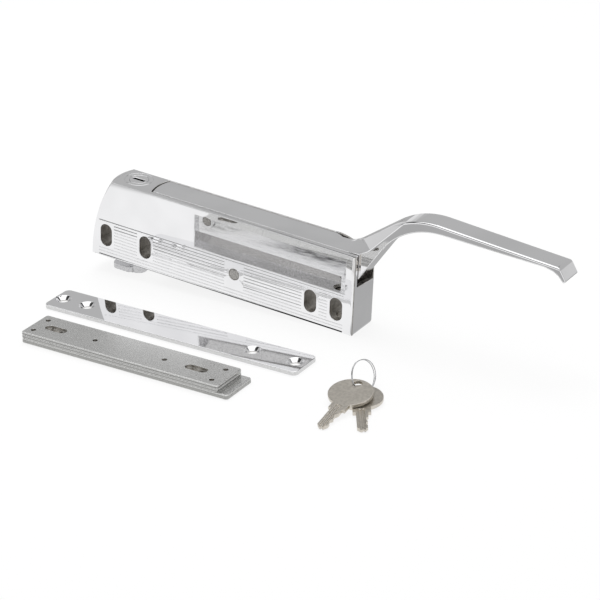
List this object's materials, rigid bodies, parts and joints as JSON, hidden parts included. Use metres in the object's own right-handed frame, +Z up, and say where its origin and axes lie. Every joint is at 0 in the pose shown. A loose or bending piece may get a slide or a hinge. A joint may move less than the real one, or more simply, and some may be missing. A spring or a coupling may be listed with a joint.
{
  "type": "magnetic latch",
  "caption": "Edge-mount magnetic latch with long lever handle and key lock, laid out with its strike plate, stacked armature plates and keys on a wire ring",
  "frame": {"origin": "middle of the whole set's footprint, on the table", "axes": "+X along the latch toward the tip of its handle, +Y toward the latch's back face, +Z up off the table"},
  "size_m": [0.2778, 0.1108, 0.0696],
  "materials": {
    "chrome_plated": "polished chrome plate on a zinc casting",
    "zinc_plated": "zinc-plated sheet steel",
    "nickel": "nickel-plated brass key blank",
    "steel": "plain steel",
    "brass": "plain brass",
    "ferrite": "sintered ferrite",
    "rubber_black": "moulded rubber"
  },
  "bodies": {
    "latch_case": {"housing": "chrome_plated", "lever_pin": "steel", "magnet_pin": "steel", "lock_barrel": "chrome_plated", "return_spring": "steel", "rest_bumper": "rubber_black"},
    "lever_arm": {"lever": "chrome_plated", "kick_pad": "rubber_black"},
    "magnet_pack": {"magnet_block": "ferrite", "pole_plate_front": "zinc_plated", "pole_plate_rear": "zinc_plated", "pack_rivets": "brass", "magnet_bush": "brass"},
    "lock_rotor": {"lock_plug": "chrome_plated", "lock_wafers": "brass", "lock_cam": "zinc_plated", "cam_screw": "steel", "lock_clip": "steel"},
    "strike": {"strike_plate": "chrome_plated"},
    "base": {"base_plate": "zinc_plated"},
    "shim": {"spacer_shim": "zinc_plated"},
    "armature": {"armature_plate": "zinc_plated"},
    "ring": {"key_ring": "steel"},
    "front_key": {"key_front": "nickel"},
    "back_key": {"key_back": "nickel"}
  },
  "joints": [
    {"name": "lever_pull", "type": "hinge", "parent": "latch_case", "child": "lever_arm", "pos_m": [-0.06328, 0.04512, 0.04381], "axis": [0, -1, 0], "range_deg": [0, 12], "stiffness_Nm_per_rad": 0.6, "springref_deg": -8.59, "deforming": ["return_spring"]},
    {"name": "lock_turn", "type": "hinge", "parent": "latch_case", "child": "lock_rotor", "pos_m": [-0.11573, 0.04642, 0.0089], "axis": [0.0641, 0, 0.9979], "range_deg": [0, 90]},
    {"name": "magnet_float", "type": "hinge", "parent": "latch_case", "child": "magnet_pack", "pos_m": [-0.0472, 0.04512, 0.01802], "axis": [0, 1, 0], "range_deg": [-1.5, 1.5]},
    {"name": "strike_lift", "type": "slide", "parent": "latch_case", "child": "strike", "axis": [0, 0, 1], "range_m": [0, 0.02]},
    {"name": "base_lift", "type": "slide", "parent": "latch_case", "child": "base", "axis": [0, 0, 1], "range_m": [0, 0.03]},
    {"name": "shim_lift", "type": "slide", "parent": "base", "child": "shim", "axis": [0, 0, 1], "range_m": [0, 0.01]},
    {"name": "armature_lift", "type": "slide", "parent": "shim", "child": "armature", "axis": [0, 0, 1], "range_m": [0, 0.01]},
    {"name": "ring_lift", "type": "slide", "parent": "latch_case", "child": "ring", "axis": [0, 0, 1], "range_m": [0, 0.02]},
    {"name": "front_key_swing", "type": "hinge", "parent": "ring", "child": "front_key", "pos_m": [0.05831, -0.01783, 0.00575], "axis": [0.009, -0.1281, 0.9917], "range_deg": [-20, 0]},
    {"name": "back_key_swing", "type": "hinge", "parent": "ring", "child": "back_key", "pos_m": [0.05849, -0.01614, 0.00235], "axis": [0.0212, -0.032, 0.9993], "range_deg": [0, 20]}
  ]
}
